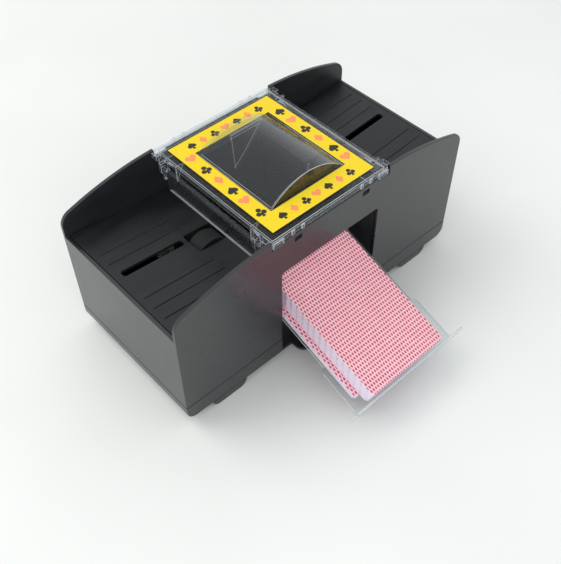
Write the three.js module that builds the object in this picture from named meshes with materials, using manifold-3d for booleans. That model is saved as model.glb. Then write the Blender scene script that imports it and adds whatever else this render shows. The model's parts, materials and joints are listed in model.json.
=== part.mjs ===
// Battery-driven card shuffler: two sloped feed decks, each with a motor-driven
// rubber roller, throw cards into a centre chamber, where they drop into a clear
// pull-out tray. Units are millimetres, +Z is up, +Y is the back, -X is the left.
import * as THREE from 'three';
import { mergeVertices } from 'three/addons/utils/BufferGeometryUtils.js';
import Module from 'manifold-3d';

const wasm = await Module();
wasm.setup();

// ---- driving dimensions ----------------------------------------------------

const GAP = 0.3; // clearance between pieces that sit against each other

// body
const BODY_LENGTH = 218;
const BODY_WIDTH = 102.6;
const WALL = 2.3;
const FOOT_HEIGHT = 5.5;
const BASE_FLOOR = 2;
const BASE_CORNER = 6.5;
const SEAM_Z = 17;
const END_RIM_Z = 77;
const CREST_Z = 103; // highest line of the front and back walls
const CREST_HALF = 40; // the crest is flat this far either side of the centre
const CREST_RADIUS = 195; // and falls away along this arc
const CREST_CORNER = 9;
const COVER_SEAT_Z = 98.8; // wall top where the clear cover lies on it

// front opening
const OPENING_HALF = 37.4;
const OPENING_TOP = 75;
const TONGUE_HALF = 30;
const TONGUE_REACH = 9.7;

// card tray: it slides on a slope, front end down. Its own Y runs up the slope from the
// lip's lower front edge, and its own Z is square to its floor
const FRONT_REACH = 119.7; // from the body's middle to the lip's foremost edge
const TRAY_SLOPE = THREE.MathUtils.degToRad(19.5);
const TRAY_FRONT_Z = 10.6;
const TRAY_LENGTH = 101.5;
const TRAY_TRAVEL = 35;
const TRAY_HALF = 36.9;
const TRAY_FLOOR = 1.7;
const APRON_HALF = 39.8; // the front part is wider than the opening, so it stops the tray
const APRON_LENGTH = 33;
const APRON_CORNER = 2.5;
const LIP_HALF = 44.6;
const LIP_THICKNESS = 1.6;
const LIP_HEIGHT = 11;
const RAIL_WIDTH = 2.5; // of the ledges that carry the tray
const RAIL_THICKNESS = 2;
const RAIL_START = 71.8;

// playing cards
const CARD_WIDTH = 58;
const CARD_LENGTH = 88;
const LOWER_CARDS = 4; // thickness of the cards that are set back
const ALL_CARDS = 16.2;

// clear cover
const COVER_HALF_X = 43.5;
const COVER_HALF_Y = 50.5;
const COVER_BOTTOM = 99.2;
const COVER_TOP = 101.2;
const COVER_RIM_TOP = 102.4;
const LABEL_HALF_X = 38.1;
const LABEL_HALF_Y = 45;
const DOME_HALF_X = 27;
const DOME_HALF_Y = 31.4;
const DOME_WALL = 1.4;
const DOME_RISE_FRONT = 11.5;
const DOME_RISE_BACK = 8.5;
const HOOK_X = 25.6;
const HOOK_HALF = 2.5;
const HOOK_BOTTOM = 93.4;
const LATCH_HEIGHT = 3;
const NOTCH_X = 35.3; // the walls are cut lower from here out, for the cover's corner lugs
const NOTCH_Z = 97;
const EAR_BOTTOM = 87.5;
const EAR_X0 = 41.5;
const EAR_PAST_PIN = 2.9;
const SKIRT_Y = 47;
const TAB_OFFSET = 3.5;
const RIM = 1.6;

// gates under the cover's left and right edges
const GATE_X = 44.4;
const GATE_HALF_Y = 37.5;
const GATE_BOTTOM = 81;
const GATE_PIVOT_Z = 95;
const GATE_THICKNESS = 1.4;
const GATE_PIN_END = 44.2;
const GATE_BARREL = 1.9;

// feed decks and rollers
const DECK_SLOPE = Math.tan(THREE.MathUtils.degToRad(5));
const DECK_THICKNESS = 2;
const ROLLER_X = 49;
const ROLLER_Z = 62.3;
const TYRE_RADIUS = 11.5;
const TYRE_HALF = 5.2;
const TYRE_BORE = 6.3;
const SHAFT_RADIUS = 1.5;

// gears: module 0.8, 25 degree pressure angle, stub teeth
const GEAR_MODULE = 0.8;
const PRESSURE_ANGLE = THREE.MathUtils.degToRad(25);
const BACKLASH = 0.24;
const ROLLER_TEETH = 15;
const IDLER_SMALL_TEETH = 12;
const IDLER_LARGE_TEETH = 28;
const PINION_TEETH = 10;
const IDLER_ANGLE = THREE.MathUtils.degToRad(-33.5); // roller centre to idler centre
const PINION_ANGLE = THREE.MathUtils.degToRad(-62.6); // idler centre to pinion centre

// batteries, four AA cells across the right-hand side of the base
const CELL_RADIUS = 7.25;
const CELL_PITCH = 14.9;
const CELL_Z = 15;
const CELL_BODY = 49.5;
const BAY_X = 73.1;
const CONTACT_LENGTH = 2.7; // of each sprung contact

// start button on the back
const BUTTON_Z = 40;
const BUTTON_HALF_X = 6;
const BUTTON_HALF_Z = 4;
const BUTTON_REACH = 2.5;

const halfL = BODY_LENGTH / 2;
const halfW = BODY_WIDTH / 2;
const innerW = halfW - WALL;

// ---- materials ---------------------------------------------------------------

const material = (color, roughness, metalness = 0, opacity = 1) =>
  new THREE.MeshStandardMaterial({ color, roughness, metalness, opacity, transparent: opacity < 1 });
const blackPlastic = () => material(0x1b1c1f, 0.38);
const clearPlastic = () => material(0xdfe6ea, 0.08, 0, 0.3);
const steel = () => material(0xb4b7bb, 0.3, 0.9);
const whiteNylon = () => material(0xe9e7df, 0.5);

// ---- small geometry tools ------------------------------------------------------

/** Turn a three.js geometry into a solid that can be joined and cut. */
function solid(geometry) {
  const bare = geometry.clone();
  bare.deleteAttribute('normal');
  bare.deleteAttribute('uv');
  const merged = mergeVertices(bare, 1e-4);
  return new wasm.Manifold(
    new wasm.Mesh({
      numProp: 3,
      vertProperties: new Float32Array(merged.attributes.position.array),
      triVerts: new Uint32Array(merged.index.array),
    }),
  );
}

/** Turn a joined or cut solid back into a three.js geometry. */
function surface(manifold) {
  const mesh = manifold.getMesh();
  const geometry = new THREE.BufferGeometry();
  geometry.setAttribute('position', new THREE.BufferAttribute(mesh.vertProperties, 3));
  geometry.setIndex(new THREE.BufferAttribute(mesh.triVerts, 1));
  geometry.computeVertexNormals();
  return geometry;
}

/** Box between two corners, given in either order. */
function block(x0, x1, y0, y1, z0, z1) {
  const box = new THREE.BoxGeometry(Math.abs(x1 - x0), Math.abs(y1 - y0), Math.abs(z1 - z0));
  return box.translate((x0 + x1) / 2, (y0 + y1) / 2, (z0 + z1) / 2);
}

/** The same thing made for both sides, -1 and 1. */
const both = (make) => [make(-1), make(1)];

/** The same thing made at all four corners. */
const four = (make) => both((sx) => both((sy) => make(sx, sy))).flat();

/** Outline from a list of corners. */
const outline = (...points) => new THREE.Shape(points.map(([x, y]) => new THREE.Vector2(x, y)));

/** Prism with its outline in the XZ plane, from y0 to y1. */
function alongY(shape, y0, y1, curveSegments = 6) {
  const depth = Math.abs(y1 - y0);
  const prism = new THREE.ExtrudeGeometry(shape, { depth, bevelEnabled: false, curveSegments });
  return prism.rotateX(Math.PI / 2).translate(0, Math.max(y0, y1), 0);
}

/** Prism with its outline in the XY plane, from z0 to z1. */
function alongZ(shape, z0, z1, curveSegments = 6) {
  const prism = new THREE.ExtrudeGeometry(shape, { depth: z1 - z0, bevelEnabled: false, curveSegments });
  return prism.translate(0, 0, z0);
}

/** Upright cylinder. */
function pillar(radius, z0, z1, x, y, sides = 12) {
  const cylinder = new THREE.CylinderGeometry(radius, radius, z1 - z0, sides);
  return cylinder.rotateX(Math.PI / 2).translate(x, y, (z0 + z1) / 2);
}

/** Cylinder parallel to Y. */
function rod(radius, y0, y1, x = 0, z = 0, sides = 20) {
  return new THREE.CylinderGeometry(radius, radius, y1 - y0, sides).translate(x, (y0 + y1) / 2, z);
}

/** Ring parallel to Y, with a bore through it. */
function ring(outer, bore, y0, y1, sides = 20) {
  const profile = [[bore, y0], [outer, y0], [outer, y1], [bore, y1], [bore, y0]];
  return new THREE.LatheGeometry(profile.map(([r, y]) => new THREE.Vector2(r, y)), sides);
}

/** Join a list of geometries into one solid. */
const join = (...geometries) => geometries.map(solid).reduce((sum, next) => sum.add(next));

/** Cut a list of geometries out of a solid. */
const cut = (body, ...tools) => tools.map(solid).reduce((rest, next) => rest.subtract(next), body);

/** Move a shape from the tray's own frame on to its slope. */
const onSlope = (geometry) => geometry.rotateX(TRAY_SLOPE)
  .translate(0, LIP_HEIGHT * Math.sin(TRAY_SLOPE) - FRONT_REACH, TRAY_FRONT_Z);

/** Named mesh from a geometry or a solid. */
function piece(name, shape, finish) {
  const mesh = new THREE.Mesh(shape.isBufferGeometry ? shape : surface(shape), finish);
  mesh.name = name;
  return mesh;
}

// ---- housing --------------------------------------------------------------------

/** Front and back wall outline: flat crest, arched shoulders, rounded ends. */
function crestOutline() {
  const centreZ = CREST_Z - CREST_RADIUS;
  const cornerX = halfL - CREST_CORNER;
  const reach = CREST_RADIUS - CREST_CORNER;
  const cornerZ = centreZ + Math.sqrt(reach ** 2 - (cornerX - CREST_HALF) ** 2);
  const tangent = Math.atan2(cornerZ - centreZ, cornerX - CREST_HALF);
  const shape = new THREE.Shape();
  shape.moveTo(-halfL, SEAM_Z + GAP);
  shape.lineTo(halfL, SEAM_Z + GAP);
  shape.absarc(cornerX, cornerZ, CREST_CORNER, 0, tangent);
  shape.absarc(CREST_HALF, centreZ, CREST_RADIUS, tangent, Math.PI / 2);
  shape.absarc(-CREST_HALF, centreZ, CREST_RADIUS, Math.PI / 2, Math.PI - tangent);
  shape.absarc(-cornerX, cornerZ, CREST_CORNER, Math.PI - tangent, Math.PI);
  return shape;
}

const SCREW_X = 100;
const SCREW_Y = 46;
const BOSS_HALF = 3;
const BOSS_TOP = 40;
const SCREW_SHANK = 1.2;
const SCREW_TOP = 20;
const COVER_PLAY = 0.7; // between the cover's ends and the walls' crests
const BUTTON_PLAY = 0.4;
const OVER = 1; // how far a cutting tool runs past the face that it cuts
const HIGH = 200; // above everything

function housingShell() {
  const cutAcross = (x0, x1, z0, z1) => block(x0, x1, -halfW - OVER, halfW + OVER, z0, z1);
  const walls = cut(
    solid(alongY(crestOutline(), -halfW, halfW, 8)),
    block(-halfL + WALL, halfL - WALL, -innerW, innerW, 0, HIGH),
    block(-halfL - OVER, halfL + OVER, -innerW, innerW, END_RIM_Z, HIGH),
    cutAcross(-COVER_HALF_X - COVER_PLAY, COVER_HALF_X + COVER_PLAY, COVER_SEAT_Z, HIGH),
    block(-OPENING_HALF, OPENING_HALF, -halfW - OVER, -innerW + OVER, 0, OPENING_TOP),
    block(-BUTTON_HALF_X - BUTTON_PLAY, BUTTON_HALF_X + BUTTON_PLAY, innerW - OVER, halfW + OVER,
      BUTTON_Z - BUTTON_HALF_Z - BUTTON_PLAY, BUTTON_Z + BUTTON_HALF_Z + BUTTON_PLAY),
    ...both((side) => cutAcross(side * NOTCH_X, side * (COVER_HALF_X + COVER_PLAY), NOTCH_Z, HIGH)),
    ...both((side) => cutAcross(side * HOOK_X - HOOK_HALF, side * HOOK_X + HOOK_HALF,
      HOOK_BOTTOM - 0.2, HOOK_BOTTOM + LATCH_HEIGHT)),
  );
  // each boss is joined to the wall above the seam and stands clear of the base's wall below it
  const bosses = four((sx, sy) => {
    const [x0, x1] = [sx * (SCREW_X - BOSS_HALF), sx * (SCREW_X + BOSS_HALF)];
    const lower = block(x0, x1, sy * (SCREW_Y - BOSS_HALF), sy * (innerW - GAP),
      FOOT_HEIGHT + BASE_FLOOR + GAP, BOSS_TOP);
    const upper = block(x0, x1, sy * (SCREW_Y - BOSS_HALF), sy * (innerW + OVER),
      SEAM_Z + GAP, BOSS_TOP);
    return join(lower, upper);
  });
  const joined = bosses.reduce((sum, boss) => sum.add(boss), walls);
  const holes = four((sx, sy) =>
    pillar(SCREW_SHANK + GAP, 0, SCREW_TOP + OVER, sx * SCREW_X, sy * SCREW_Y));
  return cut(joined, ...holes);
}

/** Height of the feed deck's upper face at a distance from the centre. */
const deckZ = (x) => END_RIM_Z - (halfL - Math.abs(x)) * DECK_SLOPE;

// ---- base, feet, screws, battery bay -----------------------------------------------

const DOOR = { x0: BAY_X - 28.2, x1: BAY_X + 28.2, y0: -31, y1: 31, travel: 10 };
const RECESS_DEPTH = 1.9; // the door's recess in the underside
const PAD_RISE = 1.8; // the floor is thickened by this much over the recess
const BAY_HALF_X = 27.4;
const BAY_HALF_Y = 30.2;
const BOX_WALL = 1.2;
const BOX_PLAY_X = 0.7; // round the cells' bay, inside the battery box
const BOX_PLAY_Y = 0.4;
const FOOT_X = 78.5;
const FOOT_HALF_TOP = 13;
const FOOT_HALF_BOTTOM = 7.5;
const FOOT_CURVE = 11.5; // where the swept ends' control points lie
const FOOT_DEPTH = 8;
const TONGUE_CORNER = 6;

/** Base outline in XZ: straight ends turned into the underside by an arc. */
function tubOutline(inset, floorZ, top) {
  const radius = BASE_CORNER - inset;
  const x = halfL - inset;
  const shape = new THREE.Shape();
  shape.moveTo(x, top);
  shape.lineTo(-x, top);
  shape.absarc(-x + radius, floorZ + radius, radius, Math.PI, Math.PI * 1.5);
  shape.absarc(x - radius, floorZ + radius, radius, Math.PI * 1.5, Math.PI * 2);
  return shape;
}

/** Rounded tongue in front of the opening, which carries the pulled-out tray. */
function tongue() {
  const centreX = TONGUE_HALF - TONGUE_CORNER;
  const centreY = -halfW - TONGUE_REACH + TONGUE_CORNER;
  const shape = new THREE.Shape();
  shape.moveTo(-TONGUE_HALF, -innerW + OVER);
  shape.absarc(-centreX, centreY, TONGUE_CORNER, Math.PI, Math.PI * 1.5);
  shape.absarc(centreX, centreY, TONGUE_CORNER, Math.PI * 1.5, Math.PI * 2);
  shape.lineTo(TONGUE_HALF, -innerW + OVER);
  return alongZ(shape, FOOT_HEIGHT, FOOT_HEIGHT + BASE_FLOOR);
}

function baseCover() {
  const floorTop = FOOT_HEIGHT + BASE_FLOOR;
  const tub = cut(
    solid(alongY(tubOutline(0, FOOT_HEIGHT, SEAM_Z), -halfW, halfW, 5)),
    alongY(tubOutline(WALL, floorTop, SEAM_Z + 5), -innerW, innerW, 5),
    block(-OPENING_HALF, OPENING_HALF, -halfW - 1, -innerW + 1, floorTop, SEAM_Z + 5),
  );
  const pad = block(DOOR.x0 - 2.4, DOOR.x1 + 1.6, DOOR.y0 - 2.5, DOOR.y1 + DOOR.travel + 1.6,
    floorTop - OVER, floorTop + PAD_RISE);
  const screwWays = four((sx, sy) =>
    pillar(SCREW_SHANK + GAP, FOOT_HEIGHT - OVER, floorTop + OVER, sx * SCREW_X, sy * SCREW_Y));
  return cut(
    tub.add(solid(tongue())).add(solid(pad)),
    block(DOOR.x0 - GAP, DOOR.x1 + GAP, DOOR.y0 - GAP, DOOR.y1 + DOOR.travel + GAP,
      FOOT_HEIGHT - OVER, FOOT_HEIGHT + RECESS_DEPTH),
    block(BAY_X - BAY_HALF_X, BAY_X + BAY_HALF_X, -BAY_HALF_Y, BAY_HALF_Y, 0, SEAM_Z),
    ...screwWays,
  );
}

/** Foot with swept ends, level with the front or back face. */
function foot(side, end) {
  const centre = side * FOOT_X;
  const top = FOOT_HEIGHT - GAP;
  const shape = new THREE.Shape();
  shape.moveTo(centre - FOOT_HALF_TOP, top);
  shape.quadraticCurveTo(centre - FOOT_CURVE, 0, centre - FOOT_HALF_BOTTOM, 0);
  shape.lineTo(centre + FOOT_HALF_BOTTOM, 0);
  shape.quadraticCurveTo(centre + FOOT_CURVE, 0, centre + FOOT_HALF_TOP, top);
  return alongY(shape, end * halfW, end * (halfW - FOOT_DEPTH), 5);
}

/** Pan-head screw, point up, with its origin under the head. */
function screw() {
  const length = SCREW_TOP - FOOT_HEIGHT;
  const profile = [[0, -1.8], [1.7, -1.8], [2.5, -1], [2.5, 0], [SCREW_SHANK, 0],
    [SCREW_SHANK, length - 1.4], [0, length]];
  const body = new THREE.LatheGeometry(profile.map(([r, z]) => new THREE.Vector2(r, z)), 12);
  return body.rotateX(Math.PI / 2);
}

/** Battery holder: an upturned tub over the bay in the base. */
function batteryBox() {
  const bottom = FOOT_HEIGHT + BASE_FLOOR + PAD_RISE + GAP;
  const inside = CELL_Z + CELL_RADIUS + GAP;
  const x = BAY_HALF_X + BOX_PLAY_X;
  const y = BAY_HALF_Y + BOX_PLAY_Y;
  return cut(
    solid(block(BAY_X - x - BOX_WALL, BAY_X + x + BOX_WALL, -y - BOX_WALL, y + BOX_WALL,
      bottom, inside + BOX_WALL)),
    block(BAY_X - x, BAY_X + x, -y, y, 0, inside),
  );
}

/** AA cell along X, its raised terminal at +X. */
function cell() {
  const half = CELL_BODY / 2;
  const crimp = 0.6;
  const button = 2.75;
  const profile = [[0, -half], [CELL_RADIUS - crimp, -half], [CELL_RADIUS, -half + crimp],
    [CELL_RADIUS, half - crimp], [CELL_RADIUS - crimp, half], [button, half], [button, half + 1],
    [0, half + 1]];
  const body = new THREE.LatheGeometry(profile.map(([r, y]) => new THREE.Vector2(r, y)), 16);
  return body.rotateZ(-Math.PI / 2);
}

/** Coil of wire round +X that narrows from one radius to another. */
class Coil extends THREE.Curve {
  constructor(radius0, radius1, length, turns) {
    super();
    Object.assign(this, { radius0, radius1, length, turns });
  }

  getPoint(t, target = new THREE.Vector3()) {
    const angle = t * this.turns * Math.PI * 2;
    const radius = THREE.MathUtils.lerp(this.radius0, this.radius1, t);
    return target.set(t * this.length, radius * Math.cos(angle), radius * Math.sin(angle));
  }
}

function coilSpring(radius0, radius1, length, turns, wire) {
  const section = outline(...[0, 1, 2, 3, 4].map((k) =>
    [wire * Math.cos(k * Math.PI * 0.4), wire * Math.sin(k * Math.PI * 0.4)]));
  const extrudePath = new Coil(radius0, radius1, length, turns);
  return new THREE.ExtrudeGeometry(section, { steps: Math.round(turns * 9), extrudePath });
}

// ---- feed decks -----------------------------------------------------------------

const gearCentres = (side) => {
  const step = (from, angle, teeth) => ({
    x: from.x + side * Math.cos(angle) * teeth * GEAR_MODULE / 2,
    z: from.z + Math.sin(angle) * teeth * GEAR_MODULE / 2,
  });
  const roller = { x: side * ROLLER_X, z: ROLLER_Z };
  const idler = step(roller, IDLER_ANGLE, ROLLER_TEETH + IDLER_SMALL_TEETH);
  const pinion = step(idler, PINION_ANGLE, IDLER_LARGE_TEETH + PINION_TEETH);
  return { roller, idler, pinion };
};

const LUG_NEAR = 10;
const LUG_FAR = 12;
const BUSH_RADIUS = 3;
const PIN_RADIUS = 1.2;
const GROOVES = [16, 25, 34];
const GROOVE_HALF = 0.3;
const GROOVE_DEPTH = 0.4;
const GROOVE_X0 = 56;
const GROOVE_X1 = 102;
const SIDE_WALL = 1.6; // the deck's own wall beside the centre chamber
const LUG_X0 = 44;
const WINDOW_END = 58.1; // the roller's window runs out this far from the centre
const WINDOW_Y0 = -6.5;
const WINDOW_Y1 = 9.5;
const SLOT_X0 = 61;
const SLOT_X1 = 101.3;
const SLOT_Y = 5.8;
const SLOT_HALF = 2.3;

function feedDeck(side) {
  const { roller, idler } = gearCentres(side);
  const edge = halfL - WALL - GAP;
  const wallX = OPENING_HALF + SIDE_WALL;
  const foot = FOOT_HEIGHT + BASE_FLOOR + GAP;
  const under = (x) => deckZ(x) - DECK_THICKNESS;
  const corner = (x, z) => [side * x, z];
  const plate = outline(
    corner(edge, deckZ(edge)), corner(OPENING_HALF, deckZ(OPENING_HALF)),
    corner(OPENING_HALF, foot), corner(wallX, foot),
    corner(wallX, under(wallX)), corner(edge, under(edge)),
  );
  const lug = (reach, bottom) => outline(
    corner(LUG_X0, bottom), corner(reach, bottom),
    corner(reach, under(reach) + OVER), corner(LUG_X0, under(LUG_X0) + OVER),
  );
  const depth = innerW - GAP;
  const rail = onSlope(block(side * (OPENING_HALF - RAIL_WIDTH), side * (OPENING_HALF + OVER),
    RAIL_START, TRAY_LENGTH + TRAY_TRAVEL, -GAP - RAIL_THICKNESS, -GAP));
  const body = join(
    alongY(plate, -depth, depth),
    rail,
    alongY(lug(54, 57), -LUG_FAR, -LUG_NEAR),
    alongY(lug(63, 52), LUG_NEAR, LUG_FAR),
  );
  const groove = (y) => alongY(outline(
    corner(GROOVE_X0, deckZ(GROOVE_X0) - GROOVE_DEPTH), corner(GROOVE_X1, deckZ(GROOVE_X1) - GROOVE_DEPTH),
    corner(GROOVE_X1, deckZ(GROOVE_X1) + OVER), corner(GROOVE_X0, deckZ(GROOVE_X0) + OVER),
  ), y - GROOVE_HALF, y + GROOVE_HALF);
  const windowFloor = ROLLER_Z - TYRE_RADIUS - 1.3;
  return cut(
    body,
    block(side * (OPENING_HALF - OVER), side * WINDOW_END, WINDOW_Y0, WINDOW_Y1, windowFloor, END_RIM_Z),
    block(side * SLOT_X0, side * SLOT_X1, SLOT_Y - SLOT_HALF, SLOT_Y + SLOT_HALF, 60, END_RIM_Z + OVER),
    rod(BUSH_RADIUS + GAP, -LUG_FAR - OVER, LUG_FAR + OVER, roller.x, roller.z, 20),
    rod(PIN_RADIUS + GAP, 0, LUG_FAR + OVER, idler.x, idler.z, 12),
    ...GROOVES.flatMap((y) => [groove(y), groove(-y)]),
  );
}

// ---- gears -------------------------------------------------------------------------

const involute = (angle) => Math.tan(angle) - angle;

/** Spur gear outline with one tooth centred on the given angle. */
function gearOutline(teeth, phase) {
  const pitch = teeth * GEAR_MODULE / 2;
  const base = pitch * Math.cos(PRESSURE_ANGLE);
  const root = pitch - 1.1 * GEAR_MODULE;
  const tip = pitch + 0.8 * GEAR_MODULE;
  const halfAt = (radius) => {
    const pressure = Math.acos(Math.min(1, base / Math.max(radius, base)));
    return Math.PI / (2 * teeth) - BACKLASH / (2 * pitch) + involute(PRESSURE_ANGLE) - involute(pressure);
  };
  const radii = [root, Math.max(base, pitch - 0.2 * GEAR_MODULE), tip];
  const flank = (radius, sign, centre) => {
    const angle = centre + sign * halfAt(radius);
    return [radius * Math.cos(angle), radius * Math.sin(angle)];
  };
  const points = [];
  for (let tooth = 0; tooth < teeth; tooth += 1) {
    const centre = phase + tooth * 2 * Math.PI / teeth;
    points.push(...radii.map((radius) => flank(radius, -1, centre)));
    points.push(...[...radii].reverse().map((radius) => flank(radius, 1, centre)));
  }
  return outline(...points);
}

/** Gear body along Y with a bore. */
const gear = (teeth, phase, y0, y1, bore) =>
  cut(solid(alongY(gearOutline(teeth, phase), y0, y1)), rod(bore, y0 - 1, y1 + 1, 0, 0, 12));

const GEAR_Y0 = 13;
const GEAR_Y1 = 18;
const LARGE_Y0 = 19.5;
const LARGE_Y1 = 22.5;
const BRACKET_Y0 = 24;
const BRACKET_Y1 = 26;
const HUB_RADIUS = 3;
const BRACKET = { x0: 52, x1: 77, z0: 33, z1: 62 };
const BRACKET_ARM = { x0: 66, x1: 72 };
const SHAFT_WAY = 3; // radius of the hole round the motor's shaft
const MOTOR_LENGTH = 22;
const MOTOR_RADIUS = 10;
const MOTOR_FLAT = 7.5;
const MOTOR_SHAFT = 1;

/** Idler with a small and a large gear on one hub. */
function idlerGear(smallPhase, largePhase) {
  const blank = solid(alongY(gearOutline(IDLER_SMALL_TEETH, smallPhase), GEAR_Y0, GEAR_Y1))
    .add(solid(rod(HUB_RADIUS, GEAR_Y1 - OVER, LARGE_Y0 + OVER, 0, 0, 14)))
    .add(solid(alongY(gearOutline(IDLER_LARGE_TEETH, largePhase), LARGE_Y0, LARGE_Y1)));
  return cut(blank, rod(PIN_RADIUS + GAP, 0, 30, 0, 0, 12));
}

/** Plate that carries the motor and the far end of the idler's pin. */
function gearBracket(side) {
  const { idler, pinion } = gearCentres(side);
  const { x0, x1, z0, z1 } = BRACKET;
  const armTop = deckZ(BRACKET_ARM.x0) - DECK_THICKNESS - GAP - 0.1;
  return cut(
    join(
      block(side * x0, side * x1, BRACKET_Y0, BRACKET_Y1, z0, z1),
      block(side * BRACKET_ARM.x0, side * BRACKET_ARM.x1, BRACKET_Y0, BRACKET_Y1, z1 - OVER, armTop),
    ),
    rod(PIN_RADIUS + GAP, BRACKET_Y0 - OVER, BRACKET_Y1 + OVER, idler.x, idler.z, 12),
    rod(SHAFT_WAY, BRACKET_Y0 - OVER, BRACKET_Y1 + OVER, pinion.x, pinion.z, 16),
  );
}

/** Small brushed motor: a round can with two flats. */
function motorCan() {
  const angle = Math.asin(MOTOR_FLAT / MOTOR_RADIUS);
  const shape = new THREE.Shape();
  shape.absarc(0, 0, MOTOR_RADIUS, -angle, angle);
  shape.absarc(0, 0, MOTOR_RADIUS, Math.PI - angle, Math.PI + angle);
  return alongY(shape, BRACKET_Y1 + GAP, BRACKET_Y1 + GAP + MOTOR_LENGTH, 6);
}

function driveTrain(side, label) {
  const { roller, idler, pinion } = gearCentres(side);
  const towards = (from, to) => Math.atan2(to.z - from.z, to.x - from.x);
  const toIdler = towards(roller, idler);
  const toPinion = towards(idler, pinion);
  const gapFacing = (angle, teeth) => angle + Math.PI + Math.PI / teeth;

  const brass = () => material(0x9a7b3c, 0.4, 0.8);
  const bush = (y0) => ring(BUSH_RADIUS, SHAFT_RADIUS + GAP, y0, y0 + LUG_FAR - LUG_NEAR, 16);
  const hub = ring(TYRE_BORE - GAP, SHAFT_RADIUS + GAP, -TYRE_HALF, TYRE_HALF);
  const tyre = ring(TYRE_RADIUS, TYRE_BORE, -TYRE_HALF, TYRE_HALF, 36);
  const rollerGear = gear(ROLLER_TEETH, toIdler, GEAR_Y0, GEAR_Y1, SHAFT_RADIUS + GAP);
  const rollerShaft = rod(SHAFT_RADIUS, -LUG_FAR - 2, GEAR_Y1 + 0.8, 0, 0, 12);
  const rollerGroup = new THREE.Group();
  rollerGroup.position.set(roller.x, 0, roller.z);
  rollerGroup.add(
    piece(`${label}_roller_shaft`, rollerShaft, steel()),
    piece(`${label}_roller_hub`, hub, whiteNylon()),
    piece(`${label}_roller_tyre`, tyre, material(0x141414, 0.85)),
    piece(`${label}_roller_gear`, rollerGear, whiteNylon()),
    piece(`${label}_front_bush`, bush(-LUG_FAR), brass()),
    piece(`${label}_rear_bush`, bush(LUG_NEAR), brass()),
  );

  const idlerGroup = new THREE.Group();
  idlerGroup.position.set(idler.x, 0, idler.z);
  idlerGroup.add(
    piece(`${label}_idler_gear`, idlerGear(gapFacing(toIdler, IDLER_SMALL_TEETH), toPinion), whiteNylon()),
    piece(`${label}_idler_pin`, rod(PIN_RADIUS, LUG_NEAR, BRACKET_Y1, 0, 0, 10), steel()),
  );

  const pinionGear = gear(PINION_TEETH, gapFacing(toPinion, PINION_TEETH),
    LARGE_Y0 - 0.5, LARGE_Y1 + 0.8, MOTOR_SHAFT + GAP);
  const motorGroup = new THREE.Group();
  motorGroup.position.set(pinion.x, 0, pinion.z);
  motorGroup.add(
    piece(`${label}_motor_pinion`, pinionGear, material(0xc9a24a, 0.35, 0.9)),
    piece(`${label}_motor_shaft`, rod(MOTOR_SHAFT, LARGE_Y0 - 1, BRACKET_Y1, 0, 0, 10), steel()),
    piece(`${label}_motor`, motorCan(), material(0xa9acb0, 0.35, 0.9)),
  );

  const train = new THREE.Group();
  train.add(rollerGroup, idlerGroup, motorGroup);
  train.add(piece(`${label}_gear_bracket`, gearBracket(side), blackPlastic()));
  return train;
}

// ---- card tray and cards --------------------------------------------------------------

/** Flat tray with a lip across its front, and wider in front than where it enters the body. */
function cardTray() {
  const front = LIP_THICKNESS - 0.2;
  const apron = new THREE.Shape();
  apron.moveTo(-APRON_HALF, front);
  apron.lineTo(APRON_HALF, front);
  apron.absarc(APRON_HALF - APRON_CORNER, APRON_LENGTH - APRON_CORNER, APRON_CORNER, 0, Math.PI / 2);
  apron.absarc(APRON_CORNER - APRON_HALF, APRON_LENGTH - APRON_CORNER, APRON_CORNER, Math.PI / 2, Math.PI);
  const tray = join(
    alongZ(apron, 0, TRAY_FLOOR),
    block(-TRAY_HALF, TRAY_HALF, APRON_LENGTH - OVER, TRAY_LENGTH, 0, TRAY_FLOOR),
    block(-LIP_HALF, LIP_HALF, 0, LIP_THICKNESS, 0, LIP_HEIGHT),
  );
  return onSlope(surface(tray));
}

/** Block of squared-up cards that lies between two heights above the tray's floor. */
const cards = (x, y, z0, z1) =>
  onSlope(block(x, x + CARD_WIDTH, y, y + CARD_LENGTH, TRAY_FLOOR + GAP + z0, TRAY_FLOOR + GAP + z1));

// ---- clear cover, label, gates -----------------------------------------------------------

/** Barrel vault whose crown falls from front to back. */
function vault(halfX, halfY, riseFront, riseBack, below) {
  const nominal = 10;
  const radius = (halfX ** 2 + nominal ** 2) / (2 * nominal);
  const angle = Math.asin(halfX / radius);
  const shape = new THREE.Shape();
  shape.moveTo(-halfX, -below);
  shape.lineTo(halfX, -below);
  shape.absarc(0, nominal - radius, radius, Math.PI / 2 - angle, Math.PI / 2 + angle);
  const geometry = alongY(shape, -halfY, halfY, 12);
  const position = geometry.attributes.position;
  for (let i = 0; i < position.count; i += 1) {
    const share = (position.getY(i) + halfY) / (2 * halfY);
    const rise = THREE.MathUtils.lerp(riseFront, riseBack, share) / nominal;
    const z = position.getZ(i);
    position.setZ(i, COVER_TOP + (z > 0 ? z * rise : z));
  }
  return geometry;
}

const DEFLECTOR_TOP = COVER_TOP + 1.5; // joined to the dome's back end
const DEFLECTOR_TIP = 76.5;
const DEFLECTOR_Y = 29;

/** Pointed rib inside the dome that keeps thrown cards from riding up. */
function deflector() {
  const shape = new THREE.Shape();
  shape.moveTo(-3.8, DEFLECTOR_TOP);
  shape.lineTo(-1.8, DEFLECTOR_TIP);
  shape.quadraticCurveTo(9.5, 86, 21, DEFLECTOR_TOP);
  return alongY(shape, DEFLECTOR_Y, DEFLECTOR_Y + 1.4, 4);
}

/** Lug that hangs from the cover's edge and holds one end of a gate's pin. */
const ear = (sx, sy) =>
  block(sx * EAR_X0, sx * (GATE_X + EAR_PAST_PIN), sy * 39, sy * 41, EAR_BOTTOM, COVER_TOP);

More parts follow.
